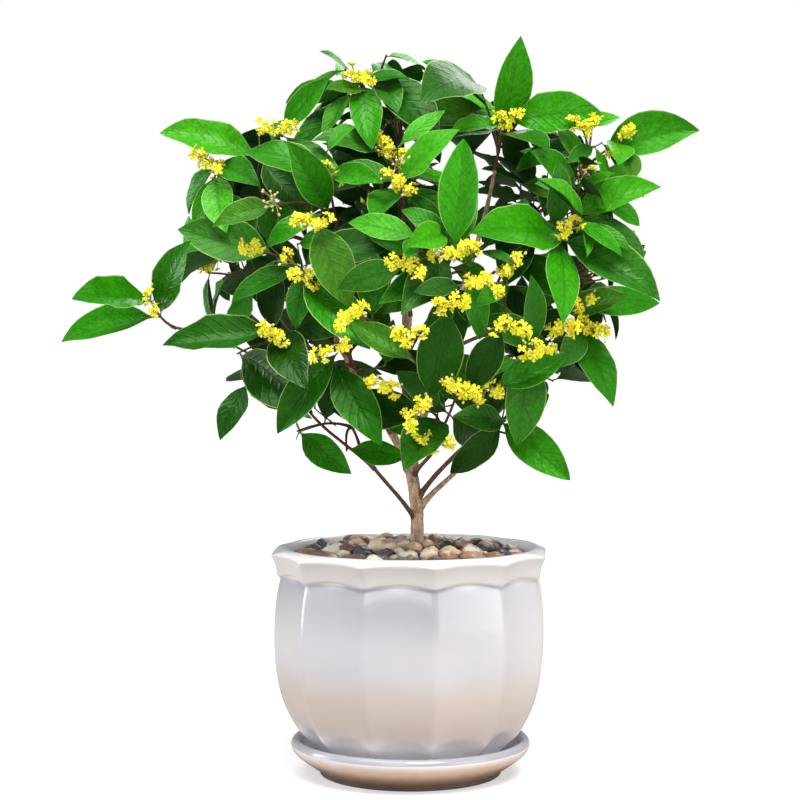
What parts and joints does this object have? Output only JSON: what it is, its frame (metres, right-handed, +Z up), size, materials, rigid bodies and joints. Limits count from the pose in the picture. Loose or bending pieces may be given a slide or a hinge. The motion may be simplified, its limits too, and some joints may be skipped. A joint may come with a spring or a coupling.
{
  "type": "potted sweet osmanthus shrub",
  "caption": "Small flowering shrub with arching glossy leaves and clusters of yellow blossom, in a white fluted pot on a round saucer, pebbles over its soil.",
  "frame": {"origin": "middle of the saucer's flat underside, on the surface that the plant stands on", "axes": "+Z up the trunk, +X to the right and -Y towards the viewer in the picture"},
  "size_m": [0.513, 0.3483, 0.592],
  "materials": {
    "glaze": "white stoneware under a smooth glossy glaze",
    "soil": "dark matte potting soil",
    "pebble": "smooth water-worn pebbles in tan, cream, grey, red-brown and black",
    "bark": "thin grey-brown bark with fine fissures and pale pores",
    "foliage": "glossy dark green leaves with a pale midrib, and yellow blossom"
  },
  "bodies": {
    "root": {"saucer": "glaze", "pot": "glaze", "soil": "soil", "pebbles": "pebble", "trunk": "bark", "bough_low_left": "bark", "bough_low_right": "bark", "bough_right_outer": "bark", "bough_left_upper": "bark", "bough_centre_upper": "bark", "bough_top": "bark", "bough_back": "bark", "bough_bottom_centre": "bark", "bough_far_left": "bark", "bough_lower_left": "bark", "bough_left_middle": "bark", "bough_upper_left": "bark", "bough_centre_left": "bark", "bough_centre_lower": "bark", "bough_centre": "bark", "bough_top_left": "bark", "bough_right_middle": "bark", "bough_centre_right": "bark", "bough_right_upper": "bark", "bough_top_right": "bark", "bough_side_left": "bark", "bough_side_right": "bark", "bough_back_low_left": "bark", "bough_back_low_right": "bark", "bough_back_left": "bark", "bough_back_right": "bark", "bough_back_top": "bark", "foliage_top_left": "foliage", "foliage_top": "foliage", "foliage_top_right": "foliage", "foliage_right_upper": "foliage", "foliage_right_middle": "foliage", "foliage_right_outer": "foliage", "foliage_low_right": "foliage", "foliage_bottom_centre": "foliage", "foliage_low_left": "foliage", "foliage_lower_left": "foliage", "foliage_far_left": "foliage", "foliage_left_middle": "foliage", "foliage_left_upper": "foliage", "foliage_upper_left": "foliage", "foliage_centre_left": "foliage", "foliage_centre_upper": "foliage", "foliage_centre": "foliage", "foliage_centre_lower": "foliage", "foliage_centre_right": "foliage", "foliage_side_left": "foliage", "foliage_side_right": "foliage", "foliage_back": "foliage", "foliage_back_left": "foliage", "foliage_back_right": "foliage", "foliage_back_top": "foliage", "foliage_back_low_left": "foliage", "foliage_back_low_right": "foliage"}
  },
  "joints": []
}
